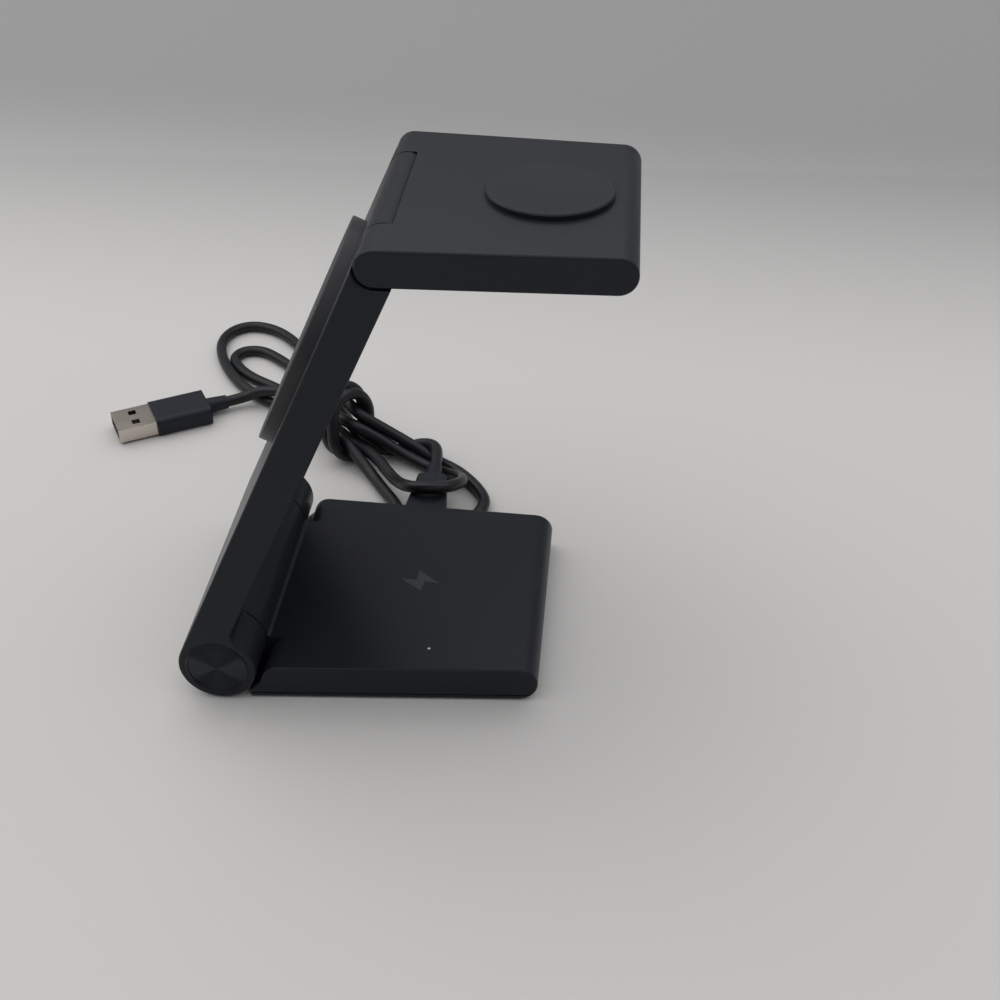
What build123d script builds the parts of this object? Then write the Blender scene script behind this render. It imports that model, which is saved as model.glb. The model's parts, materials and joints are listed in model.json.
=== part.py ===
"""Folding wireless charger: an earbud base, a leaning phone arm, a watch head and its cord."""
import os
from math import cos, radians, sin, sqrt, tan

from build123d import *

os.makedirs("parts", exist_ok=True)

# Base slab, centred on the origin and standing on its foot pad
base_length = 67.7
base_thickness = 9.4
base_inset = 1.0
base_end_width = 63.3
foot_height = 0.4
foot_inset = 5.0
foot_corner = 4.0
cover_thickness = 1.5
seam_gap = 0.3
seam_depth = 0.5
toe_reach = 2.8
toe_height = 2.2
toe_fillet = 2.5
base_wall = 1.7
edge_round = 0.6

# Lower hinge: the base's knuckle turns between the arm's two ears
hinge_width = 73.2
barrel_radius = 9.5
ear_width = 12.0
ear_gap = 0.5
side_gap = 0.4
knuckle_gap = 0.5
knuckle_fillet = 1.2
ear_fillet = 3.0
lower_shaft_radius = 2.5
bush_wall = 1.2
bush_length = 9.0
shaft_clearance = 0.05
cap_radius = 7.7
cap_thickness = 1.0
cap_proud = 0.4
cap_rim = 0.6
cap_dish = 0.25

# Arm
arm_lean = 25.4
arm_length = 114.5
arm_thickness = 9.1

# Head and upper hinge
head_length = 52.8
head_thickness = 8.4
head_droop = 1.4
head_hinge_width = 64.2
head_end_width = 58.9
head_ear_width = 13.0
cradle_gap = 0.4
notch_gap = 0.5
upper_shaft_radius = 1.4

# Phone puck on the arm's front
puck_radius = 27.8
puck_height = 3.2
puck_reach = 76.6
puck_wall = 3.0
puck_roof = 1.2
puck_edge = 0.4
pad_inset = 1.6
pad_thickness = 0.5
phone_pocket_radius = 22.0
phone_pocket_depth = 5.0
phone_coil_outer = 19.0
phone_coil_inner = 9.0
magnet_ring_width = 3.6
magnet_count = 16
magnet_gap_angle = 4.0
shield_thickness = 0.5
arm_board_radius = 20.0
board_thickness = 1.2

# Watch puck on the head's top
watch_reach = 33.2
watch_radius = 14.0
watch_height = 1.3
watch_dish = 0.3
watch_dish_radius = 12.5
watch_edge = 0.3
watch_pocket_radius = 11.6
watch_pocket_depth = 4.6
watch_coil_inner = 5.2
watch_coil_height = 1.2
watch_magnet_radius = 4.6
pocket_clearance = 0.3

# Inside the base
earbud_coil_outer = 20.0
earbud_coil_inner = 9.0
earbud_coil_height = 1.0
inner_gap = 0.6
ballast_width = 40.0
ballast_thickness = 2.0
board_inset = 4.6
board_height = 4.5
boss_radius = 2.6
screw_radius = 1.0
screw_head_radius = 1.9
screw_head_height = 0.9
screw_length = 6.0
boss_inset_x = 8.5
boss_inset_y = 5.5
light_radius = 0.6
light_x = 6.6
light_y = -25.4

# USB-C socket in the base's far side, and the plug in it
plug_x = -2.4
usb_c_width = 8.3
usb_c_height = 2.5
usb_c_clearance = 0.05
socket_wall = 0.3
socket_depth = 7.0
socket_hole_gap = 0.3
socket_rise = 5.7
usb_c_insert = 6.2
usb_c_body_width = 12.2
usb_c_body_height = 5.0
usb_c_body_length = 17.0
usb_c_tail_width = 8.8
usb_c_relief_radius = 2.4
plug_body_round = 1.6
relief_length = 6.5
relief_end_radius = 2.2
plug_gap = 0.3

# USB-A plug lying on the table
usb_a_tip = (-106.0, 76.8)
usb_a_turn = 29.5
usb_a_width = 12.0
usb_a_height = 4.5
usb_a_length = 12.0
usb_a_sheet = 0.3
usb_a_window = 2.4
usb_a_window_reach = 6.2
usb_a_window_spacing = 5.6
usb_a_tongue_height = 1.8
usb_a_tongue_setback = 0.8
usb_a_body_width = 14.0
usb_a_body_height = 6.2
usb_a_body_length = 17.4
usb_a_body_round = 2.0
usb_a_relief_radius = 2.6

# Cord: its hank lies behind the arm, with the two loops that its own end is wound round
cord_diameter = 3.5
hank_middle = (-27.6, 76.8)
hank_turn = -47.8
hank_lay = 3.7
left_lobe = (-60.0, 1.0)
left_lobe_size = (28.8, 15.4)
right_lobe = (33.0, 0.8)
right_lobe_size = (21.5, 14.0)
neck_offset = -5.0
neck_half_width = 3.7
neck_start = -8.0
neck_end = 11.0
neck_bottom = 5.5
neck_top = 12.8
wrap_turn = 11.0
wrap_lean = 12.0
wrap_tilt = 14.0

base_start_width = hinge_width - 2 * base_inset
base_top = foot_height + base_thickness
base_middle = foot_height + base_thickness / 2
cover_top = foot_height + cover_thickness
cavity_end = base_length / 2 - base_thickness / 2
toe_end = base_length / 2 + toe_reach
hinge_x = -(base_length / 2 + ear_gap + barrel_radius)
hinge_height = foot_height + barrel_radius
knuckle_width = hinge_width - 2 * ear_width - 2 * side_gap
arm_back = barrel_radius - arm_thickness
head_radius = head_thickness / 2
top_knuckle_width = head_hinge_width - 2 * head_ear_width - 2 * side_gap

# Frames: x runs along each panel away from its hinge, y across it, z out of its outer face
lean_sin = sin(radians(arm_lean))
lean_cos = cos(radians(arm_lean))
arm_plane = Plane(
    origin=(hinge_x, 0, hinge_height), x_dir=(lean_sin, 0, lean_cos), z_dir=(-lean_cos, 0, lean_sin)
)
arm_side = Plane(origin=arm_plane.origin, x_dir=arm_plane.x_dir, z_dir=(0, -1, 0))
top_axis = (arm_length, barrel_radius - head_radius)
head_origin = arm_plane.from_local_coords(Vector(top_axis[0], 0, top_axis[1]))
head_x = (cos(radians(head_droop)), 0, -sin(radians(head_droop)))
head_z = (sin(radians(head_droop)), 0, cos(radians(head_droop)))
head_plane = Plane(origin=head_origin, x_dir=head_x, z_dir=head_z)
head_side = Plane(origin=head_origin, x_dir=head_x, z_dir=(0, -1, 0))
puck_plane = Plane(
    origin=arm_plane.from_local_coords(Vector(puck_reach, 0, barrel_radius)),
    x_dir=arm_plane.x_dir,
    z_dir=arm_plane.z_dir,
)
watch_plane = Plane(
    origin=head_plane.from_local_coords(Vector(watch_reach, 0, head_radius)), x_dir=head_x, z_dir=head_z
)


def base_half_width(x):
    """Half the base's width at a place along its length."""
    share = (x + base_length / 2) / base_length
    return base_start_width / 2 + (base_end_width - base_start_width) / 2 * share


def outline_edges(faces):
    """Edges around a group of faces, without those that two of them share."""
    edges = [edge for face in faces for edge in face.edges()]
    middles = [tuple(round(value, 2) for value in edge.center()) for edge in edges]
    return [edge for edge, middle in zip(edges, middles) if middles.count(middle) == 1]


# Base slab outline with a toe below the ears, cut at the side seam into the top shell and the bottom cover
with BuildPart() as base_form:
    with BuildSketch(Plane.XZ):
        with Locations((0, base_middle)):
            SlotOverall(base_length, base_thickness)
        with BuildLine():
            Polyline(
                (-cavity_end, foot_height),
                (-toe_end, foot_height),
                (-toe_end, foot_height + toe_height),
                (-base_length / 2, base_middle),
                (-cavity_end, base_middle),
                close=True,
            )
        make_face()
        fillet(vertices().sort_by_distance((-base_length / 2, base_middle, 0))[0], radius=toe_fillet)
    extrude(amount=hinge_width, both=True)
    with BuildSketch(Plane.XY):
        with BuildLine():
            Polyline(
                (-toe_end, -base_half_width(-toe_end)),
                (base_length / 2, -base_end_width / 2),
                (base_length / 2, base_end_width / 2),
                (-toe_end, base_half_width(-toe_end)),
                close=True,
            )
        make_face()
    extrude(amount=base_top + base_wall, mode=Mode.INTERSECT)
    base_sides = base_form.faces().sort_by(Axis.Y)
    fillet(base_sides[0].edges() + base_sides[-1].edges(), radius=edge_round)

boss_places = [
    (side_x * (base_length / 2 - boss_inset_x), side_y * (base_half_width(side_x * base_length / 2) - boss_inset_y))
    for side_x in (-1, 1)
    for side_y in (-1, 1)
]
cavity_near_half = base_half_width(-cavity_end) - base_wall
cavity_far_half = base_half_width(cavity_end) - base_wall
board_length = base_length - 2 * (boss_inset_x + boss_radius + inner_gap)
board_width = base_end_width - 2 * board_inset
socket_height = foot_height + socket_rise
far_wall_y = base_half_width(plug_x)

with BuildPart() as base_shell:
    add(base_form.part)
    split(bisect_by=Plane.XY.offset(cover_top), keep=Keep.TOP)
    with BuildSketch(Plane.XZ):
        with Locations((hinge_x, hinge_height)):
            Circle(barrel_radius)
        with BuildLine():
            Polyline(
                (hinge_x, cover_top),
                (-cavity_end, cover_top),
                (-cavity_end, base_top),
                (hinge_x, base_top),
                close=True,
            )
        make_face()
        fillet(
            vertices().sort_by_distance((hinge_x + barrel_radius, base_top, 0))[0],
            radius=knuckle_fillet,
        )
    extrude(amount=knuckle_width / 2, both=True)
    # hollow for the coil and the board
    with BuildSketch(Plane.XY.offset(cover_top)):
        with BuildLine():
            Polyline(
                (-cavity_end, -cavity_near_half),
                (cavity_end, -cavity_far_half),
                (cavity_end, cavity_far_half),
                (-cavity_end, cavity_near_half),
                close=True,
            )
        make_face()
    extrude(amount=base_thickness - cover_thickness - base_wall, mode=Mode.SUBTRACT)
    # screw bosses
    with BuildSketch(Plane.XY.offset(cover_top)):
        with Locations(*boss_places):
            Circle(boss_radius)
    extrude(amount=base_thickness - cover_thickness - base_wall)
    with BuildSketch(Plane.XY.offset(cover_top)):
        with Locations(*boss_places):
            Circle(screw_radius)
    extrude(amount=screw_length - cover_thickness, mode=Mode.SUBTRACT)
    # bore for the friction bushes and the shaft
    with BuildSketch(Plane.XZ):
        with Locations((hinge_x, hinge_height)):
            Circle(lower_shaft_radius + bush_wall)
    extrude(amount=hinge_width / 2, both=True, mode=Mode.SUBTRACT)
    # socket mouth and pin-hole light
    with BuildSketch(Plane.XZ):
        with Locations((plug_x, socket_height)):
            SlotOverall(
                usb_c_width + 2 * (socket_wall + socket_hole_gap), usb_c_height + 2 * (socket_wall + socket_hole_gap)
            )
    extrude(amount=-hinge_width / 2, mode=Mode.SUBTRACT)
    with BuildSketch(Plane.XY.offset(base_top)):
        with Locations((light_x, light_y)):
            Circle(light_radius)
    extrude(amount=-2 * base_wall, mode=Mode.SUBTRACT)
base_shell.part.label = "base_shell"
export_step(base_shell.part, "parts/base_shell.step")

# the cover's upper edge is set back, which leaves a thin groove along the side seam
seam_drop = base_thickness / 2 - cover_thickness
seam_end = cavity_end + sqrt((base_thickness / 2) ** 2 - seam_drop**2) - seam_depth
seam_start = toe_end - seam_depth
seam_hinge_half = base_half_width(-seam_start) - seam_depth
seam_free_half = base_half_width(seam_end) - seam_depth
with BuildPart() as base_bottom_cover:
    add(base_form.part)
    split(bisect_by=Plane.XY.offset(cover_top), keep=Keep.BOTTOM)
    with BuildSketch(Plane.XY.offset(cover_top)):
        Rectangle(base_length + base_thickness, hinge_width + base_thickness)
        with BuildLine():
            Polyline(
                (-seam_start, -seam_hinge_half),
                (seam_end, -seam_free_half),
                (seam_end, seam_free_half),
                (-seam_start, seam_hinge_half),
                close=True,
            )
        make_face(mode=Mode.SUBTRACT)
    extrude(amount=-seam_gap, mode=Mode.SUBTRACT)
    with BuildSketch(Plane.XY.offset(foot_height)):
        with Locations(*boss_places):
            Circle(screw_radius)
    extrude(amount=cover_thickness, mode=Mode.SUBTRACT)
    with BuildSketch(Plane.XY.offset(foot_height)):
        with Locations(*boss_places):
            Circle(screw_head_radius)
    extrude(amount=screw_head_height, mode=Mode.SUBTRACT)
base_bottom_cover.part.label = "base_bottom_cover"
export_step(base_bottom_cover.part, "parts/base_bottom_cover.step")

with BuildPart() as foot_pad:
    with BuildSketch(Plane.XY):
        with BuildLine():
            Polyline(
                (-base_length / 2 + foot_inset, -base_half_width(-base_length / 2) + foot_inset),
                (base_length / 2 - foot_inset, -base_half_width(base_length / 2) + foot_inset),
                (base_length / 2 - foot_inset, base_half_width(base_length / 2) - foot_inset),
                (-base_length / 2 + foot_inset, base_half_width(-base_length / 2) - foot_inset),
                close=True,
            )
        make_face()
        fillet(vertices(), radius=foot_corner)
    extrude(amount=foot_height)
foot_pad.part.label = "foot_pad"
export_step(foot_pad.part, "parts/foot_pad.step")

for number, place in enumerate(boss_places, start=1):
    with BuildPart() as cover_screw:
        with BuildSketch(Plane.XY.offset(foot_height)):
            with Locations(place):
                Circle(screw_head_radius)
        extrude(amount=screw_head_height)
        with BuildSketch(Plane.XY.offset(foot_height)):
            with Locations(place):
                Circle(screw_radius)
        extrude(amount=screw_length)
    cover_screw.part.label = f"cover_screw_{number}"
    export_step(cover_screw.part, f"parts/cover_screw_{number}.step")

with BuildPart() as ballast_plate:
    with Locations((0, -(board_width - ballast_width) / 2, cover_top)):
        Box(board_length, ballast_width, ballast_thickness, align=(Align.CENTER, Align.CENTER, Align.MIN))
ballast_plate.part.label = "ballast_plate"
export_step(ballast_plate.part, "parts/ballast_plate.step")

socket_outer_width = usb_c_width + 2 * (usb_c_clearance + socket_wall)
socket_outer_height = usb_c_height + 2 * (usb_c_clearance + socket_wall)
socket_mouth_y = far_wall_y - base_wall / 2
with BuildPart() as main_board:
    with BuildSketch(Plane.XY.offset(board_height)):
        Rectangle(board_length, board_width)
        with Locations((plug_x, socket_mouth_y - socket_depth / 2)):
            Rectangle(socket_outer_width + 2 * socket_hole_gap, socket_depth + 2 * socket_hole_gap, mode=Mode.SUBTRACT)
    extrude(amount=board_thickness)
main_board.part.label = "main_board"
export_step(main_board.part, "parts/main_board.step")

socket_plane = Plane(origin=(plug_x, socket_mouth_y, socket_height), x_dir=(-1, 0, 0), z_dir=(0, 1, 0))
with BuildPart() as usb_c_socket:
    with BuildSketch(socket_plane):
        SlotOverall(socket_outer_width, socket_outer_height)
    extrude(amount=-socket_depth)
    with BuildSketch(socket_plane):
        SlotOverall(usb_c_width + 2 * usb_c_clearance, usb_c_height + 2 * usb_c_clearance)
    extrude(amount=-(socket_depth - socket_wall), mode=Mode.SUBTRACT)
usb_c_socket.part.label = "usb_c_socket"
export_step(usb_c_socket.part, "parts/usb_c_socket.step")

coil_roof = base_top - base_wall
with BuildPart() as earbud_coil:
    with BuildSketch(Plane.XY.offset(coil_roof)):
        Circle(earbud_coil_outer)
        Circle(earbud_coil_inner, mode=Mode.SUBTRACT)
    extrude(amount=-earbud_coil_height)
earbud_coil.part.label = "earbud_coil"
export_step(earbud_coil.part, "parts/earbud_coil.step")

with BuildPart() as earbud_coil_shield:
    with BuildSketch(Plane.XY.offset(coil_roof - earbud_coil_height)):
        Circle(earbud_coil_outer)
    extrude(amount=-shield_thickness)
earbud_coil_shield.part.label = "earbud_coil_shield"
export_step(earbud_coil_shield.part, "parts/earbud_coil_shield.step")

with BuildPart() as status_light_pipe:
    with BuildSketch(Plane.XY.offset(base_top)):
        with Locations((light_x, light_y)):
            Circle(light_radius)
    extrude(amount=-(base_top - board_height - board_thickness))
status_light_pipe.part.label = "status_light_pipe"
export_step(status_light_pipe.part, "parts/status_light_pipe.step")

# Lower hinge shaft, held by the ears, and the bushes that grip it
with BuildPart() as lower_hinge_shaft:
    with BuildSketch(arm_side):
        Circle(lower_shaft_radius)
    extrude(amount=hinge_width / 2 - cap_thickness + cap_proud, both=True)
lower_hinge_shaft.part.label = "lower_hinge_shaft"
export_step(lower_hinge_shaft.part, "parts/lower_hinge_shaft.step")

for side_name, side in (("near", -1), ("far", 1)):
    with BuildPart() as friction_bush:
        bush_plane = Plane(origin=(hinge_x, side * knuckle_width / 2, hinge_height), z_dir=(0, -side, 0))
        with BuildSketch(bush_plane):
            Circle(lower_shaft_radius + bush_wall)
            Circle(lower_shaft_radius + shaft_clearance, mode=Mode.SUBTRACT)
        extrude(amount=bush_length)
    friction_bush.part.label = f"friction_bush_{side_name}"
    export_step(friction_bush.part, f"parts/friction_bush_{side_name}.step")

    with BuildPart() as hinge_cap:
        cap_face = side * (hinge_width / 2 + cap_proud)
        cap_plane = Plane(origin=(hinge_x, cap_face, hinge_height), z_dir=(0, side, 0))
        with BuildSketch(cap_plane):
            Circle(cap_radius)
        extrude(amount=-cap_thickness)
        chamfer(hinge_cap.edges().sort_by(Axis.Y)[0 if side < 0 else -1], length=cap_dish)
        with BuildSketch(cap_plane):
            Circle(cap_radius - cap_rim)
        extrude(amount=-cap_dish, mode=Mode.SUBTRACT)
    hinge_cap.part.label = f"hinge_cap_{side_name}"
    export_step(hinge_cap.part, f"parts/hinge_cap_{side_name}.step")

# Arm: side profile with the ear barrel and the cradle, trimmed to the tapered plan
under_x = sin(radians(arm_lean - head_droop))
under_y = -cos(radians(arm_lean - head_droop))
cradle_radius = head_radius + cradle_gap
tangent_point = (top_axis[0] + cradle_radius * under_y, top_axis[1] - cradle_radius * under_x)
clear_run = 3 * arm_thickness
with BuildPart() as arm_frame:
    with BuildSketch(arm_side):
        Circle(barrel_radius)
        with Locations((arm_length / 2, barrel_radius - arm_thickness / 2)):
            Rectangle(arm_length, arm_thickness)
        fillet(vertices().sort_by_distance((barrel_radius, arm_back, 0))[0], radius=ear_fillet)
        with Locations(top_axis):
            Circle(cradle_radius, mode=Mode.SUBTRACT)
        with BuildLine():
            Polyline(
                top_axis,
                tangent_point,
                (tangent_point[0] + clear_run * under_x, tangent_point[1] + clear_run * under_y),
                (top_axis[0] + clear_run, tangent_point[1] + clear_run * under_y),
                (top_axis[0] + clear_run, top_axis[1]),
                close=True,
            )
        make_face(mode=Mode.SUBTRACT)
    extrude(amount=hinge_width / 2, both=True)
    with BuildSketch(arm_plane):
        with BuildLine():
            Polyline(
                (-2 * barrel_radius, -hinge_width / 2),
                (barrel_radius, -hinge_width / 2),
                (arm_length, -head_hinge_width / 2),
                (arm_length, head_hinge_width / 2),
                (barrel_radius, hinge_width / 2),
                (-2 * barrel_radius, hinge_width / 2),
                close=True,
            )
        make_face()
    extrude(amount=2 * barrel_radius, both=True, mode=Mode.INTERSECT)
    arm_sides = arm_frame.faces().filter_by(lambda face: abs(face.normal_at().Y) > lean_cos)
    fillet(outline_edges(arm_sides), radius=edge_round)
    # room for the base's knuckle between the ears
    with BuildSketch(arm_side):
        Circle(barrel_radius + knuckle_gap)
        with Locations((barrel_radius, arm_back - barrel_radius)):
            Rectangle(4 * barrel_radius, 2 * barrel_radius)
    extrude(amount=knuckle_width / 2 + side_gap, both=True, mode=Mode.SUBTRACT)
    # centre knuckle of the upper hinge
    with BuildSketch(arm_side):
        with Locations(top_axis):
            Circle(head_radius)
        with BuildLine():
            Polyline(
                (top_axis[0], barrel_radius),
                (top_axis[0] - arm_thickness, barrel_radius),
                (top_axis[0] - arm_thickness, top_axis[1] - head_radius * lean_sin),
                (top_axis[0] - head_radius * lean_cos, top_axis[1] - head_radius * lean_sin),
                top_axis,
                close=True,
            )
        make_face()
    extrude(amount=top_knuckle_width / 2, both=True)
    with BuildSketch(arm_side):
        with Locations(top_axis):
            Circle(upper_shaft_radius + shaft_clearance)
    extrude(amount=hinge_width / 2, both=True, mode=Mode.SUBTRACT)
    with BuildSketch(arm_side):
        Circle(lower_shaft_radius)
    extrude(amount=hinge_width / 2, both=True, mode=Mode.SUBTRACT)
    # seats for the hinge caps
    for side in (-1, 1):
        with BuildSketch(Plane(origin=(hinge_x, side * hinge_width / 2, hinge_height), z_dir=(0, side, 0))):
            Circle(cap_radius)
        extrude(amount=-(cap_thickness - cap_proud), mode=Mode.SUBTRACT)
    # pocket behind the phone puck
    with BuildSketch(puck_plane):
        Circle(phone_pocket_radius)
    extrude(amount=-phone_pocket_depth, mode=Mode.SUBTRACT)
arm_frame.part.label = "arm_frame"
export_step(arm_frame.part, "parts/arm_frame.step")

with BuildPart() as phone_puck:
    with BuildSketch(puck_plane):
        Circle(puck_radius)
    extrude(amount=puck_height)
    fillet(phone_puck.faces().sort_by(Axis(puck_plane.origin, puck_plane.z_dir))[-1].edges(), radius=puck_edge)
    with BuildSketch(puck_plane):
        Circle(puck_radius - puck_wall)
    extrude(amount=puck_height - puck_roof, mode=Mode.SUBTRACT)
    with BuildSketch(puck_plane.offset(puck_height)):
        Circle(puck_radius - pad_inset)
    extrude(amount=-pad_thickness, mode=Mode.SUBTRACT)
phone_puck.part.label = "phone_puck"
export_step(phone_puck.part, "parts/phone_puck.step")

with BuildPart() as phone_pad:
    with BuildSketch(puck_plane.offset(puck_height)):
        Circle(puck_radius - pad_inset)
    extrude(amount=-pad_thickness)
phone_pad.part.label = "phone_pad"
export_step(phone_pad.part, "parts/phone_pad.step")

puck_inside = puck_height - puck_roof
with BuildPart() as phone_coil_shield:
    with BuildSketch(puck_plane):
        Circle(puck_radius - puck_wall)
    extrude(amount=shield_thickness)
phone_coil_shield.part.label = "phone_coil_shield"
export_step(phone_coil_shield.part, "parts/phone_coil_shield.step")

with BuildPart() as phone_coil:
    with BuildSketch(puck_plane.offset(shield_thickness)):
        Circle(phone_coil_outer)
        Circle(phone_coil_inner, mode=Mode.SUBTRACT)
    extrude(amount=puck_inside - shield_thickness)
phone_coil.part.label = "phone_coil"
export_step(phone_coil.part, "parts/phone_coil.step")

# Ring of magnet segments around the coil
magnet_outer = puck_radius - puck_wall
magnet_angle = 360 / magnet_count
with BuildPart() as magnet_ring:
    with BuildSketch(puck_plane.offset(shield_thickness)):
        Circle(magnet_outer)
        Circle(magnet_outer - magnet_ring_width, mode=Mode.SUBTRACT)
        slot_width = 2 * magnet_outer * sin(radians(magnet_gap_angle / 2))
        with PolarLocations(magnet_outer - magnet_ring_width / 2, magnet_count):
            Rectangle(2 * magnet_ring_width, slot_width, mode=Mode.SUBTRACT)
    extrude(amount=puck_inside - shield_thickness)
magnet_ring.part.label = "magnet_ring"
export_step(magnet_ring.part, "parts/magnet_ring.step")

with BuildPart() as arm_board:
    with BuildSketch(puck_plane.offset(-phone_pocket_depth)):
        Circle(arm_board_radius)
    extrude(amount=board_thickness)
arm_board.part.label = "arm_board"
export_step(arm_board.part, "parts/arm_board.step")

# Head: slab with full-round ends, notched for the arm's centre knuckle
with BuildPart() as head_shell:
    with BuildSketch(head_side):
        with Locations(((head_length - head_radius) / 2, 0)):
            SlotOverall(head_length + head_radius, head_thickness)
    extrude(amount=head_hinge_width, both=True)
    with BuildSketch(head_plane):
        with BuildLine():
            Polyline(
                (-head_radius, -head_hinge_width / 2),
                (head_length, -head_end_width / 2),
                (head_length, head_end_width / 2),
                (-head_radius, head_hinge_width / 2),
                close=True,
            )
        make_face()
    extrude(amount=head_thickness, both=True, mode=Mode.INTERSECT)
    head_sides = head_shell.faces().sort_by(Axis.Y)
    fillet(head_sides[0].edges() + head_sides[-1].edges(), radius=edge_round)
    with BuildSketch(head_side):
        Circle(head_radius + notch_gap)
        with Locations((-head_thickness / 2, 0)):
            Rectangle(head_thickness, 2 * head_thickness)
    extrude(amount=top_knuckle_width / 2 + side_gap, both=True, mode=Mode.SUBTRACT)
    with BuildSketch(head_side):
        Circle(upper_shaft_radius)
    extrude(amount=head_hinge_width / 2 - head_ear_width / 4, both=True, mode=Mode.SUBTRACT)
    with BuildSketch(watch_plane):
        Circle(watch_pocket_radius)
    extrude(amount=-watch_pocket_depth, mode=Mode.SUBTRACT)
head_shell.part.label = "head_shell"
export_step(head_shell.part, "parts/head_shell.step")

with BuildPart() as upper_hinge_shaft:
    with BuildSketch(head_side):
        Circle(upper_shaft_radius)
    extrude(amount=head_hinge_width / 2 - head_ear_width / 4, both=True)
upper_hinge_shaft.part.label = "upper_hinge_shaft"
export_step(upper_hinge_shaft.part, "parts/upper_hinge_shaft.step")

with BuildPart() as watch_puck:
    with BuildSketch(Plane(origin=watch_plane.origin, x_dir=head_x, z_dir=(0, -1, 0))):
        with BuildLine():
            TangentArc((0, watch_height - watch_dish), (watch_dish_radius, watch_height), tangent=(1, 0))
            Polyline(
                (watch_dish_radius, watch_height),
                (watch_radius - watch_edge, watch_height),
                (watch_radius, watch_height - watch_edge),
                (watch_radius, 0),
                (0, 0),
                (0, watch_height - watch_dish),
            )
        make_face()
    revolve(axis=Axis(watch_plane.origin, head_z))
watch_puck.part.label = "watch_puck"
export_step(watch_puck.part, "parts/watch_puck.step")

with BuildPart() as watch_coil:
    with BuildSketch(watch_plane):
        Circle(watch_pocket_radius - pocket_clearance)
        Circle(watch_coil_inner, mode=Mode.SUBTRACT)
    extrude(amount=-watch_coil_height)
watch_coil.part.label = "watch_coil"
export_step(watch_coil.part, "parts/watch_coil.step")

with BuildPart() as watch_magnet:
    with BuildSketch(watch_plane):
        Circle(watch_magnet_radius)
    extrude(amount=-watch_coil_height)
watch_magnet.part.label = "watch_magnet"
export_step(watch_magnet.part, "parts/watch_magnet.step")

with BuildPart() as watch_coil_shield:
    with BuildSketch(watch_plane.offset(-watch_coil_height)):
        Circle(watch_pocket_radius - pocket_clearance)
    extrude(amount=-shield_thickness)
watch_coil_shield.part.label = "watch_coil_shield"
export_step(watch_coil_shield.part, "parts/watch_coil_shield.step")

with BuildPart() as head_board:
    with BuildSketch(watch_plane.offset(-watch_pocket_depth)):
        Circle(watch_pocket_radius - pocket_clearance)
    extrude(amount=board_thickness)
head_board.part.label = "head_board"
export_step(head_board.part, "parts/head_board.step")

# USB-C plug pushed into the socket
plug_start = base_half_width(plug_x - usb_c_body_width / 2) + plug_gap
plug_plane = Plane(origin=(plug_x, plug_start, socket_height), x_dir=(-1, 0, 0), z_dir=(0, 1, 0))
with BuildPart() as usb_c_shell:
    with BuildSketch(plug_plane):
        SlotOverall(usb_c_width, usb_c_height)
    extrude(amount=-usb_c_insert)
    with BuildSketch(plug_plane.offset(-usb_c_insert)):
        SlotOverall(usb_c_width - 4 * socket_wall, usb_c_height - 4 * socket_wall)
    extrude(amount=usb_c_insert - socket_wall, mode=Mode.SUBTRACT)
usb_c_shell.part.label = "usb_c_shell"
export_step(usb_c_shell.part, "parts/usb_c_shell.step")

with BuildPart() as usb_c_body:
    with BuildSketch(plug_plane):
        RectangleRounded(usb_c_body_width, usb_c_body_height, plug_body_round)
    with BuildSketch(plug_plane.offset(usb_c_body_length)):
        RectangleRounded(usb_c_tail_width, usb_c_body_height, plug_body_round)
    loft()
usb_c_body.part.label = "usb_c_body"
export_step(usb_c_body.part, "parts/usb_c_body.step")

with BuildPart() as usb_c_relief:
    with BuildSketch(plug_plane.offset(usb_c_body_length)):
        Circle(usb_c_relief_radius)
    with BuildSketch(plug_plane.offset(usb_c_body_length + relief_length)):
        Circle(relief_end_radius)
    loft()
usb_c_relief.part.label = "usb_c_relief"
export_step(usb_c_relief.part, "parts/usb_c_relief.step")

# USB-A plug on the table: sheet shell with two windows, tongue, moulded body and relief
usb_a_dir = (cos(radians(usb_a_turn)), sin(radians(usb_a_turn)))
usb_a_plane = Plane(
    origin=(usb_a_tip[0], usb_a_tip[1], usb_a_body_height / 2), x_dir=(*usb_a_dir, 0), z_dir=(0, 0, 1)
)
usb_a_end = Plane(origin=usb_a_plane.origin, x_dir=(usb_a_dir[1], -usb_a_dir[0], 0), z_dir=(*usb_a_dir, 0))
with BuildPart() as usb_a_shell:
    with BuildSketch(usb_a_end):
        Rectangle(usb_a_width, usb_a_height)
        Rectangle(usb_a_width - 2 * usb_a_sheet, usb_a_height - 2 * usb_a_sheet, mode=Mode.SUBTRACT)
    extrude(amount=usb_a_length)
    with BuildSketch(usb_a_plane.offset(usb_a_height / 2)):
        with Locations((usb_a_window_reach, 0)):
            with GridLocations(usb_a_window_spacing, usb_a_window_spacing, 1, 2):
                Rectangle(usb_a_window, usb_a_window)
    extrude(amount=-usb_a_height, mode=Mode.SUBTRACT)
usb_a_shell.part.label = "usb_a_shell"
export_step(usb_a_shell.part, "parts/usb_a_shell.step")

with BuildPart() as usb_a_tongue:
    tongue_length = usb_a_length - usb_a_tongue_setback
    tongue_width = usb_a_width - 2 * usb_a_sheet
    tongue_base = usb_a_plane.from_local_coords(
        Vector(usb_a_length - tongue_length / 2, 0, -usb_a_height / 2 + usb_a_sheet)
    )
    with BuildSketch(Plane(origin=tongue_base, x_dir=usb_a_plane.x_dir, z_dir=(0, 0, 1))):
        Rectangle(tongue_length, tongue_width)
    extrude(amount=usb_a_tongue_height)
usb_a_tongue.part.label = "usb_a_tongue"
export_step(usb_a_tongue.part, "parts/usb_a_tongue.step")

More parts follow.
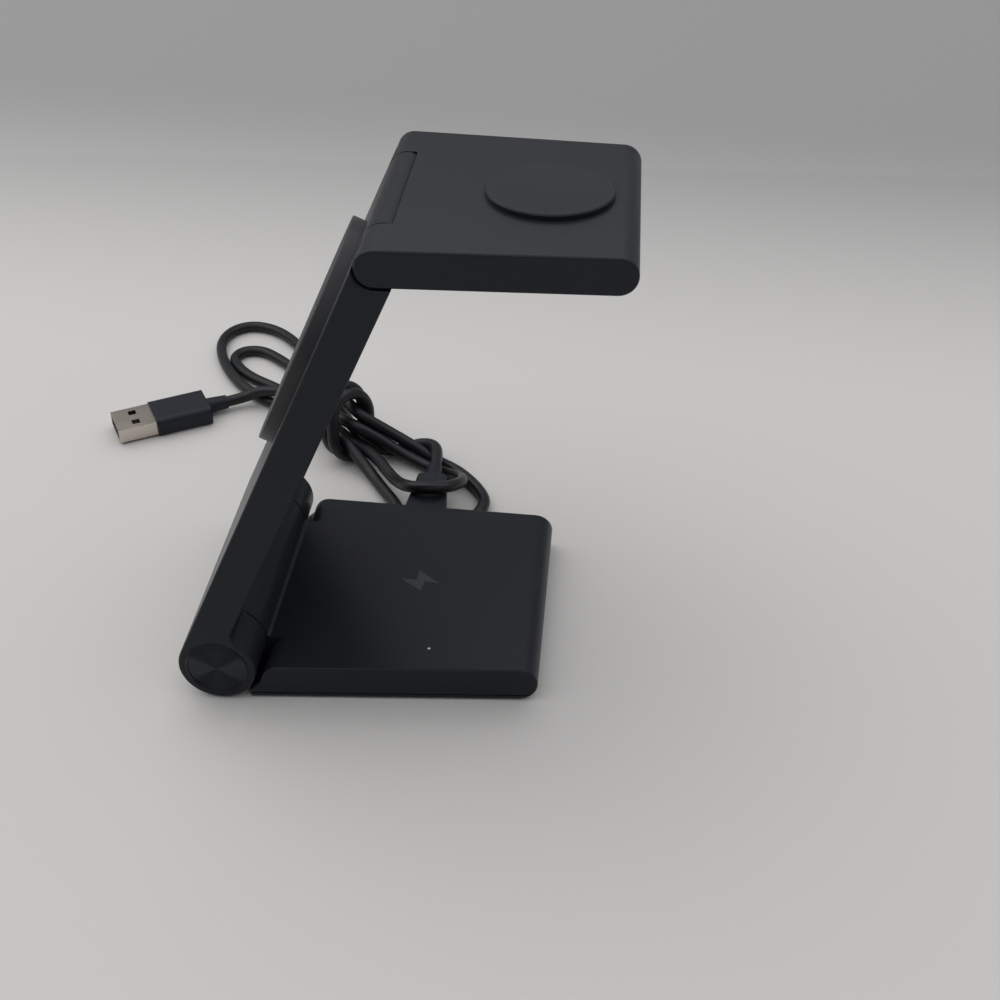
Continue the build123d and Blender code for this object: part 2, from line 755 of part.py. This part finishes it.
with BuildPart() as usb_a_body:
    with BuildSketch(usb_a_end.offset(usb_a_length)):
        RectangleRounded(usb_a_body_width, usb_a_body_height, usb_a_body_round)
    extrude(amount=usb_a_body_length)
usb_a_body.part.label = "usb_a_body"
export_step(usb_a_body.part, "parts/usb_a_body.step")

with BuildPart() as usb_a_relief:
    with BuildSketch(usb_a_end.offset(usb_a_length + usb_a_body_length)):
        Circle(usb_a_relief_radius)
    with BuildSketch(usb_a_end.offset(usb_a_length + usb_a_body_length + relief_length)):
        Circle(relief_end_radius)
    loft()
usb_a_relief.part.label = "usb_a_relief"
export_step(usb_a_relief.part, "parts/usb_a_relief.step")

# Hank: two flat lobes on the table, and a neck between them that stands up inside the wraps
hank_plane = Plane(
    origin=(*hank_middle, 0), x_dir=(cos(radians(hank_turn)), sin(radians(hank_turn)), 0), z_dir=(0, 0, 1)
)
hank_side = Plane(origin=hank_plane.origin, x_dir=hank_plane.x_dir, z_dir=-hank_plane.y_dir)
left_end = left_lobe[0] - left_lobe_size[0]
right_end = right_lobe[0] + right_lobe_size[0]
left_shoulder = left_lobe[0] + left_lobe_size[0] / 3
right_shoulder = right_lobe[0] - right_lobe_size[0] / 3
left_slope = neck_start - 2 * neck_top / 3
right_slope = neck_end + 2 * neck_top / 3
with BuildPart() as cable_hank:
    with BuildSketch(hank_plane):
        with Locations(left_lobe):
            Ellipse(*left_lobe_size)
        with Locations(right_lobe):
            Ellipse(*right_lobe_size)
        with BuildLine():
            Polyline(
                (left_shoulder, left_lobe[1] - left_lobe_size[1] * 0.8),
                (neck_start, neck_offset - neck_half_width),
                (neck_end, neck_offset - neck_half_width),
                (right_shoulder, right_lobe[1] - right_lobe_size[1] * 0.8),
                (right_shoulder, right_lobe[1] + right_lobe_size[1] * 0.8),
                (neck_end, neck_offset + neck_half_width),
                (neck_start, neck_offset + neck_half_width),
                (left_shoulder, left_lobe[1] + left_lobe_size[1] * 0.8),
                close=True,
            )
        make_face()
    extrude(amount=2 * neck_top)
    with BuildSketch(hank_side):
        with BuildLine():
            Polyline(
                (left_end, 0),
                (left_slope, 0),
                (neck_start, neck_bottom),
                (neck_end, neck_bottom),
                (right_slope, 0),
                (right_end, 0),
                (right_end, cord_diameter),
                (right_slope - hank_lay / 2, cord_diameter),
                (neck_end, neck_top),
                (neck_start, neck_top),
                (left_slope - 2 * hank_lay, hank_lay),
                (left_end, hank_lay),
                close=True,
            )
        make_face()
    extrude(amount=2 * left_lobe_size[1], both=True, mode=Mode.INTERSECT)
cable_hank.part.label = "cable_hank"
export_step(cable_hank.part, "parts/cable_hank.step")

# The cord's two turns round the neck: place along the hank, half width and half height
level = hank_plane.y_dir.rotate(Axis.Z, wrap_turn)
wrap_axis = hank_plane.x_dir.rotate(Axis.Z, wrap_turn).rotate(Axis((0, 0, 0), level), -wrap_lean)
across = level.rotate(Axis((0, 0, 0), wrap_axis), -wrap_tilt)
for number, (place, half_width, half_height) in enumerate(((-1.2, 7.3, 10.0), (2.5, 7.2, 9.6)), start=1):
    straight = half_height - half_width
    wrap_drop = (half_width + straight * cos(radians(wrap_tilt))) * cos(radians(wrap_lean))
    wrap_centre = Vector(place, neck_offset, cord_diameter / 2 + wrap_drop)
    wrap_plane = Plane(origin=hank_plane.from_local_coords(wrap_centre), x_dir=across, z_dir=wrap_axis)
    with BuildPart() as cable_wrap:
        with BuildLine(wrap_plane) as wrap_path:
            Line((-half_width, -straight), (-half_width, straight))
            ThreePointArc((-half_width, straight), (0, half_height), (half_width, straight))
            Line((half_width, straight), (half_width, -straight))
            ThreePointArc((half_width, -straight), (0, -half_height), (-half_width, -straight))
        with BuildSketch(Plane(origin=wrap_path.line @ 0, z_dir=wrap_path.line % 0)):
            Circle(cord_diameter / 2)
        sweep()
    cable_wrap.part.label = f"cable_wrap_{number}"
    export_step(cable_wrap.part, f"parts/cable_wrap_{number}.step")


def corner_radii(points):
    """Largest arcs that the runs on both sides of each corner leave room for."""
    radii = []
    for before, corner, after in zip(points, points[1:], points[2:]):
        run_in = corner - before
        run_out = after - corner
        turn = run_in.get_angle(run_out)
        radii.append(0.45 * min(run_in.length, run_out.length) / tan(radians(turn / 2)))
    return radii


usb_c_end = plug_start + usb_c_body_length + relief_length
usb_a_stop = usb_a_length + usb_a_body_length + relief_length
lead_start = 6.0
usb_c_route = [
    Vector(plug_x, usb_c_end, socket_height),
    Vector(plug_x, usb_c_end + lead_start, socket_height),
    Vector(-4.4, 70.6, 6.0),
    Vector(-8.2, 74.4, 5.4),
    Vector(-12.8, 76.0, 4.2),
    Vector(-17.4, 76.4, 3.2),
]
usb_a_route = [
    hank_plane.from_local_coords(Vector(-22.0, -5.2, 9.0)),
    hank_plane.from_local_coords(Vector(-28.6, -6.3, 7.4)),
    hank_plane.from_local_coords(Vector(-35.4, -8.9, 6.2)),
    hank_plane.from_local_coords(Vector(-40.8, -13.2, 4.9)),
    usb_a_plane.from_local_coords(Vector(usb_a_stop + lead_start, 0, 0)),
    usb_a_plane.from_local_coords(Vector(usb_a_stop, 0, 0)),
]
for lead_name, route in (("usb_c_lead", usb_c_route), ("usb_a_lead", usb_a_route)):
    with BuildPart() as lead:
        with BuildLine() as lead_path:
            FilletPolyline(*route, radius=corner_radii(route))
        with BuildSketch(Plane(origin=lead_path.line @ 0, z_dir=lead_path.line % 0)):
            Circle(cord_diameter / 2)
        sweep()
    print(lead_name, "radii", [round(radius, 1) for radius in corner_radii(route)])
    lead.part.label = lead_name
    export_step(lead.part, f"parts/{lead_name}.step")
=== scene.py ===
"""Looks of a folding wireless charger: camera, light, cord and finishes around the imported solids."""
import json
import math

import bmesh
import bpy
from mathutils import Euler, Matrix, Vector


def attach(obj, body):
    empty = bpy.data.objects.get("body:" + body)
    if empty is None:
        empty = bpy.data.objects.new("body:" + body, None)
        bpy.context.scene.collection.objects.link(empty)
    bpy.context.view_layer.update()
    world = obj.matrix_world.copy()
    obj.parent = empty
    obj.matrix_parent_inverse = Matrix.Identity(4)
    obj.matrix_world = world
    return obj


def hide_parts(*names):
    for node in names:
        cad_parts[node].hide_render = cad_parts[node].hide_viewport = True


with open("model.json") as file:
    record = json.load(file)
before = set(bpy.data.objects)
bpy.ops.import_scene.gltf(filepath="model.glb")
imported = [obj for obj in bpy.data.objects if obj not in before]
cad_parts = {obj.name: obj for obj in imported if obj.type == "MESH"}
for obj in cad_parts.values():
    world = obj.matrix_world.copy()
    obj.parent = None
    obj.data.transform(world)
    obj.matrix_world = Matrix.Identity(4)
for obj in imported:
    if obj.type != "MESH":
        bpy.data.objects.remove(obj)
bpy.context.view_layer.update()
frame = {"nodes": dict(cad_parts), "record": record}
nodes = frame["nodes"]

MM = 0.001

# Camera: place and near limit in metres, angles in degrees, lens and sensor in millimetres
CAMERA_PLACE = (0.0485, -0.2802, 0.2415)
CAMERA_NEAR = 0.01
CAMERA_AZIMUTH = 5.36
CAMERA_ELEVATION = 35.95
CAMERA_ROLL = -0.68
CAMERA_LENS = 50.38
CAMERA_SENSOR = 36.0

# Floor: side in metres, linear colours near and far, the distances between which they blend,
# and how far that blend leans to one side; the darker far colour is painted shade, where the light
# falls off behind the object
FLOOR_SIZE = 80.0
FLOOR_NEAR = (0.60, 0.588, 0.57)
# painted shade: the far floor colour is darker where less light reaches
FLOOR_FAR_PAINTED_SHADE = (0.30, 0.298, 0.292)
FLOOR_SHADE_FADE = (0.11, 0.38)
FLOOR_SHADE_SLANT = 0.12
FLOOR_ROUGHNESS = 0.7
FLOOR_GLOSS = 0.2

# Grey card behind the part, in metres
CARD_DEPTH = 0.30
CARD_WIDTH = 1.6
CARD_HEIGHT = 0.28
CARD_COLOR = (0.5, 0.5, 0.5)
CARD_ROUGHNESS = 0.8

# Room light: dim to bright along an axis, over a span of that axis
DIM_LIGHT = (0.2, 0.202, 0.206)
BRIGHT_LIGHT = (1.12, 1.125, 1.15)
LIGHT_AXIS = (-0.14, 0.3, 0.94)
LIGHT_SPAN = (0.1, 0.8)

# Soft light: place, target and side in metres, power in watts
SOFTBOX_PLACE = (-0.6, 0.35, 0.9)
SOFTBOX_TARGET = (0, 0.05, 0)
SOFTBOX_SIZE = 1.0
SOFTBOX_POWER = 2.0

# Noise: the span that most of its values lie in, slow changes per metre, and levels of detail
NOISE_SPAN = (0.3, 0.7)
SLOW_SCALE = 60.0
SLOW_DETAIL = 3.0
FINE_DETAIL = 2.0

# Spun metal: turn of its gloss as a share of a circle, waves round the cap, and the wave's span
# between coarse and fine turning
SPUN_TURN = 0.25
FAN_WAVES = 2.0
FAN_SPAN = (-0.5, 0.8)
BOX_MIDDLE = 0.5

# Base's top, in millimetres
BASE_TOP = 9.8

# Status light, in millimetres: middle of its top, bright core and dark rim, where the bright core is
# painted light;
# its grain is per metre and as deep as given in metres
LIGHT_PLACE = (6.6, -25.4, BASE_TOP)
PAINTED_LIGHT_CORE = 0.2
LIGHT_RIM = 0.4
LIGHT_ROUGHNESS = 0.25
LIGHT_GRAIN = 900.0
LIGHT_DEPTH = 0.00001

# Charging mark: a plain bolt printed on the base's top, in millimetres
BOLT_OUTLINE = [(-4.4, 1.2), (0.0, 0.9), (0.2, 4.9), (6.0, -0.1), (2.1, 0.4), (1.6, -3.4)]
PRINT_HEIGHT = 0.03

# Cord: sizes and hank in millimetres and degrees, height of its line on the table, mesh steps
CORD_DIAMETER = 3.5
HANK_MIDDLE = (-27.6, 76.8)
HANK_TURN = -47.8
TABLE = 1.8
CORD_STEPS = 8
CORD_ROUNDING = 6

scene = bpy.context.scene
scene.view_settings.view_transform = "Standard"


def add_object(name, data):
    """A new object in the scene."""
    item = bpy.data.objects.new(name, data)
    scene.collection.objects.link(item)
    return item


def add_camera():
    """Camera at the photograph's place, angle and lens."""
    data = bpy.data.cameras.new("camera")
    data.lens = CAMERA_LENS
    data.sensor_width = CAMERA_SENSOR
    data.clip_start = CAMERA_NEAR
    camera = add_object("camera", data)
    tilt = Euler((math.radians(90 - CAMERA_ELEVATION), 0, math.radians(CAMERA_AZIMUTH)))
    turn = tilt.to_matrix() @ Matrix.Rotation(math.radians(CAMERA_ROLL), 3, "Z")
    camera.matrix_world = Matrix.Translation(CAMERA_PLACE) @ turn.to_4x4()
    scene.camera = camera


# Materials

def new_material(name, color, roughness, metallic=0.0):
    """A principled material, with its node tree and its shader."""
    material = bpy.data.materials.new(name)
    material.use_nodes = True
    tree = material.node_tree
    shader = tree.nodes["Principled BSDF"]
    shader.inputs["Base Color"].default_value = (*color, 1.0)
    shader.inputs["Roughness"].default_value = roughness
    shader.inputs["Metallic"].default_value = metallic
    return material, tree, shader


def add_place(tree, kind):
    """The shaded point's place, in one of Blender's kinds of coordinates."""
    return tree.nodes.new("ShaderNodeTexCoord").outputs[kind]


def add_split(tree, source):
    """The X, Y and Z of a place."""
    split = tree.nodes.new("ShaderNodeSeparateXYZ")
    tree.links.new(source, split.inputs["Vector"])
    return split.outputs


def add_math(tree, operation, *values):
    """A math node on sockets and numbers."""
    node = tree.nodes.new("ShaderNodeMath")
    node.operation = operation
    for socket, value in zip(node.inputs, values):
        if isinstance(value, float):
            socket.default_value = value
        else:
            tree.links.new(value, socket)
    return node.outputs["Value"]


def add_noise(tree, scale, detail):
    """Noise over the object's own coordinates, in features per metre."""
    noise = tree.nodes.new("ShaderNodeTexNoise")
    noise.inputs["Scale"].default_value = scale
    noise.inputs["Detail"].default_value = detail
    tree.links.new(add_place(tree, "Object"), noise.inputs["Vector"])
    return noise.outputs["Fac"]


def map_range(tree, source, span, result):
    """Stretches a span of values over another, and cuts off what lies outside."""
    node = tree.nodes.new("ShaderNodeMapRange")
    node.inputs["From Min"].default_value = span[0]
    node.inputs["From Max"].default_value = span[1]
    node.inputs["To Min"].default_value = result[0]
    node.inputs["To Max"].default_value = result[1]
    tree.links.new(source, node.inputs["Value"])
    return node.outputs["Result"]


def blend_colors(tree, source, span, first, second, easing="LINEAR"):
    """Blends two colours over a span of values."""
    ramp = tree.nodes.new("ShaderNodeValToRGB")
    ramp.color_ramp.interpolation = easing
    for stop, position, color in zip(ramp.color_ramp.elements, span, (first, second)):
        stop.position = position
        stop.color = (*color, 1.0)
    tree.links.new(source, ramp.inputs["Fac"])
    return ramp.outputs["Color"]


def add_bump(tree, shader, source, depth):
    """Bump of a depth in metres."""
    bump = tree.nodes.new("ShaderNodeBump")
    bump.inputs["Strength"].default_value = 1.0
    bump.inputs["Distance"].default_value = depth
    tree.links.new(source, bump.inputs["Height"])
    tree.links.new(bump.outputs["Normal"], shader.inputs["Normal"])


def grained(name, color, shade, roughness, spread, grain, depth, metallic, gloss):
    """A moulded finish: fine grain in the bump, slow changes of tone and roughness."""
    material, tree, shader = new_material(name, color, roughness, metallic)
    slow = add_noise(tree, SLOW_SCALE, SLOW_DETAIL)
    fine = add_noise(tree, grain, FINE_DETAIL)
    dark = tuple(value * (1 - shade) for value in color)
    light = tuple(value * (1 + shade) for value in color)
    tone = blend_colors(tree, slow, NOISE_SPAN, dark, light)
    tree.links.new(tone, shader.inputs["Base Color"])
    shader.inputs["Specular IOR Level"].default_value = gloss
    rough = map_range(tree, slow, NOISE_SPAN, (roughness - spread, roughness + spread))
    tree.links.new(rough, shader.inputs["Roughness"])
    add_bump(tree, shader, fine, depth)
    return material


def spun_metal(name, color, fine, coarse):
    """Dark turned metal: gloss drawn out round the cap, in fans of finer and coarser turning."""
    material, tree, shader = new_material(name, color, coarse, 1.0)
    shader.inputs["Anisotropic"].default_value = 1.0
    shader.inputs["Anisotropic Rotation"].default_value = SPUN_TURN
    tangent = tree.nodes.new("ShaderNodeTangent")
    tangent.direction_type = "RADIAL"
    tangent.axis = "Y"
    tree.links.new(tangent.outputs["Tangent"], shader.inputs["Tangent"])
    place = add_split(tree, add_place(tree, "Generated"))
    side = add_math(tree, "SUBTRACT", place["X"], BOX_MIDDLE)
    height = add_math(tree, "SUBTRACT", place["Z"], BOX_MIDDLE)
    angle = add_math(tree, "ARCTAN2", height, side)
    wave = add_math(tree, "COSINE", add_math(tree, "MULTIPLY", angle, FAN_WAVES))
    rough = map_range(tree, wave, FAN_SPAN, (coarse, fine))
    tree.links.new(rough, shader.inputs["Roughness"])
    return material


def light_pipe(name, color, painted_light_color):
    """Clear pipe in a dark bore, with painted light: a bright core painted into its colour, fading to
    the pipe's dark colour at the rim.
    """
    material, tree, shader = new_material(name, color, LIGHT_ROUGHNESS)
    reach = tree.nodes.new("ShaderNodeVectorMath")
    reach.operation = "DISTANCE"
    reach.inputs[1].default_value = tuple(value * MM for value in LIGHT_PLACE)
    tree.links.new(add_place(tree, "Object"), reach.inputs[0])
    edge = map_range(tree, reach.outputs["Value"], (PAINTED_LIGHT_CORE * MM, LIGHT_RIM * MM), (0.0, 1.0))
    # painted light: the core's bright colour stands in for the light the clear pipe shows
    tone = blend_colors(tree, edge, NOISE_SPAN, painted_light_color, color)
    tree.links.new(tone, shader.inputs["Base Color"])
    add_bump(tree, shader, add_noise(tree, LIGHT_GRAIN, FINE_DETAIL), LIGHT_DEPTH)
    return material


# Each grained finish: linear colour, change of tone, roughness and its spread,
# grains per metre and their depth in metres, metallic, gloss
GRAINED = {
    "soft_black": ((0.0145, 0.0165, 0.021), 0.05, 0.33, 0.03, 2600.0, 0.00002, 0.0, 0.18),
    "puck_black": ((0.015, 0.0165, 0.02), 0.05, 0.33, 0.03, 2600.0, 0.00002, 0.0, 0.18),
    "pad_rubber": ((0.018, 0.019, 0.022), 0.08, 0.55, 0.05, 3200.0, 0.00003, 0.0, 0.5),
    "steel": ((0.5, 0.5, 0.51), 0.05, 0.35, 0.06, 1500.0, 0.00001, 1.0, 0.5),
    "bush_bronze": ((0.55, 0.36, 0.15), 0.08, 0.4, 0.06, 1500.0, 0.00001, 1.0, 0.5),
    "board_green": ((0.02, 0.1, 0.04), 0.1, 0.4, 0.05, 900.0, 0.00002, 0.0, 0.5),
    "coil_copper": ((0.66, 0.28, 0.11), 0.1, 0.35, 0.05, 1800.0, 0.00003, 1.0, 0.5),
    "ferrite": ((0.06, 0.06, 0.06), 0.08, 0.6, 0.05, 1400.0, 0.00002, 0.0, 0.5),
    "magnet_nickel": ((0.62, 0.62, 0.6), 0.04, 0.22, 0.05, 700.0, 0.00001, 1.0, 0.5),
    "plug_metal": ((0.58, 0.53, 0.47), 0.05, 0.24, 0.05, 900.0, 0.00001, 1.0, 0.5),
    "plug_black": ((0.013, 0.0155, 0.0235), 0.08, 0.45, 0.05, 2400.0, 0.00003, 0.0, 0.25),
    "cord_black": ((0.009, 0.010, 0.012), 0.1, 0.38, 0.05, 1800.0, 0.00002, 0.0, 0.35),
    # rim_black: a paler copy of the puck's black, painted highlight for the light the puck's edge
    # catches
    "rim_black": ((0.036, 0.037, 0.039), 0.05, 0.36, 0.03, 2600.0, 0.00002, 0.0, 0.3),
    "print_grey": ((0.05, 0.052, 0.057), 0.06, 0.42, 0.04, 2600.0, 0.00001, 0.0, 0.2),
}
FINISHES = {name: grained(name, *values) for name, values in GRAINED.items()}
FINISHES["cap_metal"] = spun_metal("cap_metal", (0.043, 0.046, 0.053), 0.24, 1.0)
# the pipe's pale core colour is painted light
FINISHES["light_clear"] = light_pipe("light_clear", (0.02, 0.022, 0.026), (0.6, 0.62, 0.63))


def dress_nodes():
    """Gives each solid the finish of its slot in the record, and the phone puck a paler copy of its
    black, a painted highlight for the light along its edge.
    """
    for part in frame["record"]["subparts"]:
        mesh = nodes[part["node"]].data
        mesh.materials.clear()
        mesh.materials.append(FINISHES[part["material_slot"]])
    # painted highlight: the phone puck gets the paler black
    nodes["phone_puck"].data.materials[0] = FINISHES["rim_black"]


# Cord: one smooth line from plug to plug, as control points in millimetres

def on_hank(*points):
    """Points along, across and above the hank, as places in the part's frame."""
    turn = math.radians(HANK_TURN)
    along = Vector((math.cos(turn), math.sin(turn), 0))
    across = Vector((-math.sin(turn), math.cos(turn), 0))
    middle = Vector((*HANK_MIDDLE, 0))
    return [middle + along * a + across * b + Vector((0, 0, z)) for a, b, z in points]


def on_part(*points):
    """Points already in the part's frame."""
    return [Vector(point) for point in points]


CORD_ROUTE = [
    # out of the USB-C plug, under the other strands and into the wraps
    *on_part(
        (-2.4, 57.9, 6.1),
        (-2.4, 64.5, 6.1),
        (-4.0, 70.4, 5.8),
        (-9.0, 73.4, 4.2),
        (-14.0, 72.9, 2.1),
        (-18.4, 72.2, TABLE),
    ),
    *on_hank(
        (8.2, 1.2, 2.6),
        (6.0, -1.7, 5.2),
        (2.6, -2.7, 7.1),
        (-1.6, -2.4, 7.5),
        (-7.0, -1.0, 7.2),
        (-16.0, 2.8, 5.2),
        (-31.0, 8.6, 2.0),
    ),
    # outer loop on the left, and back into the wraps
    *on_hank(
        (-48.0, 13.2, TABLE),
        (-62.0, 15.0, TABLE),
        (-77.0, 15.2, TABLE),
        (-86.6, 9.8, TABLE),
        (-87.6, 1.6, TABLE),
        (-82.2, -5.4, TABLE),
        (-73.0, -9.8, TABLE),
        (-62.0, -12.6, TABLE),
        (-51.0, -13.4, TABLE),
        (-42.0, -12.2, TABLE),
        (-30.0, -9.8, 2.4),
        (-16.0, -8.6, 5.6),
        (-6.0, -8.6, 7.4),
        (2.5, -8.3, 7.6),
    ),
    # outer loop on the right, under the USB-C plug, and high through the wraps
    *on_hank(
        (8.8, -8.0, 5.2),
        (18.0, -7.9, TABLE),
        (26.0, -9.2, TABLE),
        (33.0, -10.2, TABLE),
    ),
    *on_part(
        (-11.6, 42.6, TABLE),
        (-8.2, 38.2, TABLE),
        (-2.0, 37.4, TABLE),
        (5.0, 37.4, TABLE),
        (10.8, 39.4, TABLE),
        (13.1, 44.8, TABLE),
    ),
    *on_hank(
        (47.6, 11.8, TABLE),
        (40.0, 13.6, TABLE),
        (31.0, 13.8, TABLE),
        (24.0, 11.8, 2.0),
        (16.0, 8.0, 5.4),
        (7.6, 3.2, 9.1),
        (1.8, -1.7, 13.2),
        (-5.0, -1.6, 14.8),
        (-14.0, 0.2, 10.6),
        (-24.0, 2.6, 5.4),
        (-36.0, 4.8, 2.2),
    ),
    # inner loop on the left, and low through the wraps
    *on_hank(
        (-52.0, 5.6, TABLE),
        (-61.0, 5.0, TABLE),
        (-68.6, 3.4, TABLE),
        (-72.4, -1.8, TABLE),
        (-70.2, -7.0, TABLE),
        (-63.0, -8.8, TABLE),
        (-54.0, -8.2, TABLE),
        (-44.0, -5.2, TABLE),
        (-28.0, -3.6, 3.0),
        (-12.0, -4.8, 4.8),
        (0.0, -5.4, 5.4),
    ),
    # inner loop on the right, over the USB-C plug, and back through the wraps
    *on_hank(
        (4.6, -5.3, 5.3),
        (9.6, -4.4, 5.2),
        (16.0, -4.2, 5.0),
        (23.0, -5.6, 5.0),
        (29.5, -6.6, 5.6),
    ),
    *on_part(
        (-9.0, 43.0, 9.7),
        (-5.0, 40.6, 11.0),
        (0.0, 40.4, 11.0),
        (4.4, 43.4, 10.0),
        (6.8, 49.6, 7.2),
        (5.2, 56.4, 4.2),
    ),
    *on_hank(
        (29.5, 9.8, 1.9),
        (23.0, 7.4, 2.2),
        (16.6, 4.6, 3.6),
        (9.5, 0.8, 7.0),
        (4.4, -3.4, 10.3),
        (-0.5, -5.4, 11.3),
        (-6.0, -6.4, 11.1),
        (-15.0, -6.2, 9.8),
    ),
    # over the left loop to the USB-A plug
    *on_hank(
        (-22.0, -5.6, 8.8),
        (-28.6, -6.3, 7.4),
        (-35.4, -8.9, 6.2),
        (-40.8, -13.2, 5.3),
    ),
    *on_part(
        (-69.5, 97.4, 3.1),
        (-74.75, 94.48, 3.1),
    ),
]


def line_length(curve):
    """Length of a curve's line, in metres, read before it is given a thickness."""
    line = bpy.data.meshes.new_from_object(curve)
    places = [vertex.co.copy() for vertex in line.vertices]
    bpy.data.meshes.remove(line)
    return sum((end - start).length for start, end in zip(places, places[1:]))


def add_cord():
    """The cord from the USB-C plug through its hank to the USB-A plug."""
    data = bpy.data.curves.new("cord", "CURVE")
    data.dimensions = "3D"
    data.resolution_u = CORD_STEPS
    spline = data.splines.new("NURBS")
    spline.points.add(len(CORD_ROUTE) - 1)
    for point, place in zip(spline.points, CORD_ROUTE):
        point.co = (*(place * MM), 1.0)
    spline.order_u = 3
    spline.use_endpoint_u = True
    cord = add_object("cord", data)
    length = line_length(cord)
    data.bevel_depth = CORD_DIAMETER * MM / 2
    data.bevel_resolution = CORD_ROUNDING
    data.materials.append(FINISHES["cord_black"])
    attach(cord, "base")
    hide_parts("usb_c_lead", "cable_hank", "usb_a_lead")
    on_cord = ["usb_c_shell", "usb_c_body", "usb_c_relief", "cable_wrap_1", "cable_wrap_2"]
    on_cord += ["usb_a_relief", "usb_a_body", "usb_a_shell", "usb_a_tongue"]


def add_charging_mark():
    """The bolt as a thin raised print."""
    work = bmesh.new()
    lower = [work.verts.new((x * MM, y * MM, BASE_TOP * MM)) for x, y in BOLT_OUTLINE]
    face = work.faces.new(lower)
    raised = bmesh.ops.extrude_face_region(work, geom=[face])
    moved = [item for item in raised["geom"] if isinstance(item, bmesh.types.BMVert)]
    bmesh.ops.translate(work, verts=moved, vec=(0, 0, PRINT_HEIGHT * MM))
    bmesh.ops.recalc_face_normals(work, faces=work.faces)
    mesh = bpy.data.meshes.new("charging_mark")
    work.to_mesh(mesh)
    work.free()
    mark = add_object("charging_mark", mesh)
    mesh.materials.append(FINISHES["print_grey"])
    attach(mark, "base")


# Stage

def add_sheet(name, corners, material):
    """A flat four-cornered sheet."""
    mesh = bpy.data.meshes.new(name)
    mesh.from_pydata(corners, [], [(0, 1, 2, 3)])
    mesh.materials.append(material)
    return add_object(name, mesh)


def add_floor():
    """Pale table, with painted shade: its colour darkens far behind the object, sooner to the right,
    where the light falls off.
    """
    material, tree, shader = new_material("floor", FLOOR_NEAR, FLOOR_ROUGHNESS)
    shader.inputs["Specular IOR Level"].default_value = FLOOR_GLOSS
    place = add_split(tree, add_place(tree, "Object"))
    # painted shade: the floor's colour darkens with distance behind the object, sooner to the right
    distance = add_math(tree, "MULTIPLY_ADD", place["X"], FLOOR_SHADE_SLANT, place["Y"])
    tone = blend_colors(tree, distance, FLOOR_SHADE_FADE, FLOOR_NEAR, FLOOR_FAR_PAINTED_SHADE, "EASE")
    tree.links.new(tone, shader.inputs["Base Color"])
    half = FLOOR_SIZE / 2
    corners = [(-half, -half, 0), (half, -half, 0), (half, half, 0), (-half, half, 0)]
    floor = add_sheet("floor", corners, material)


def add_back_card():
    """A grey card behind the object, seen only in its reflections."""
    material, _, _ = new_material("back_card", CARD_COLOR, CARD_ROUGHNESS)
    half = CARD_WIDTH / 2
    flat = [(-half, 0), (half, 0), (half, CARD_HEIGHT), (-half, CARD_HEIGHT)]
    card = add_sheet("back_card", [(x, CARD_DEPTH, z) for x, z in flat], material)
    card.visible_camera = False
    card.visible_diffuse = False
    card.visible_shadow = False


def add_room_light():
    """A room that is bright above and behind, and dim in front."""
    world = bpy.data.worlds.new("world")
    world.use_nodes = True
    tree = world.node_tree
    height = tree.nodes.new("ShaderNodeVectorMath")
    height.operation = "DOT_PRODUCT"
    height.inputs[1].default_value = LIGHT_AXIS
    tree.links.new(add_place(tree, "Generated"), height.inputs[0])
    glow = blend_colors(tree, height.outputs["Value"], LIGHT_SPAN, DIM_LIGHT, BRIGHT_LIGHT)
    background = tree.nodes["Background"]
    tree.links.new(glow, background.inputs["Color"])
    background.inputs["Strength"].default_value = 1.0
    scene.world = world


def add_softbox():
    """A square soft light on the left, aimed at the object."""
    data = bpy.data.lights.new("softbox", "AREA")
    data.size = SOFTBOX_SIZE
    data.energy = SOFTBOX_POWER
    light = add_object("softbox", data)
    light.location = SOFTBOX_PLACE
    aim = Vector(SOFTBOX_TARGET) - Vector(SOFTBOX_PLACE)
    light.rotation_euler = aim.to_track_quat("-Z", "Y").to_euler()


add_camera()
add_room_light()
add_softbox()
add_floor()
add_back_card()
dress_nodes()
add_cord()
add_charging_mark()
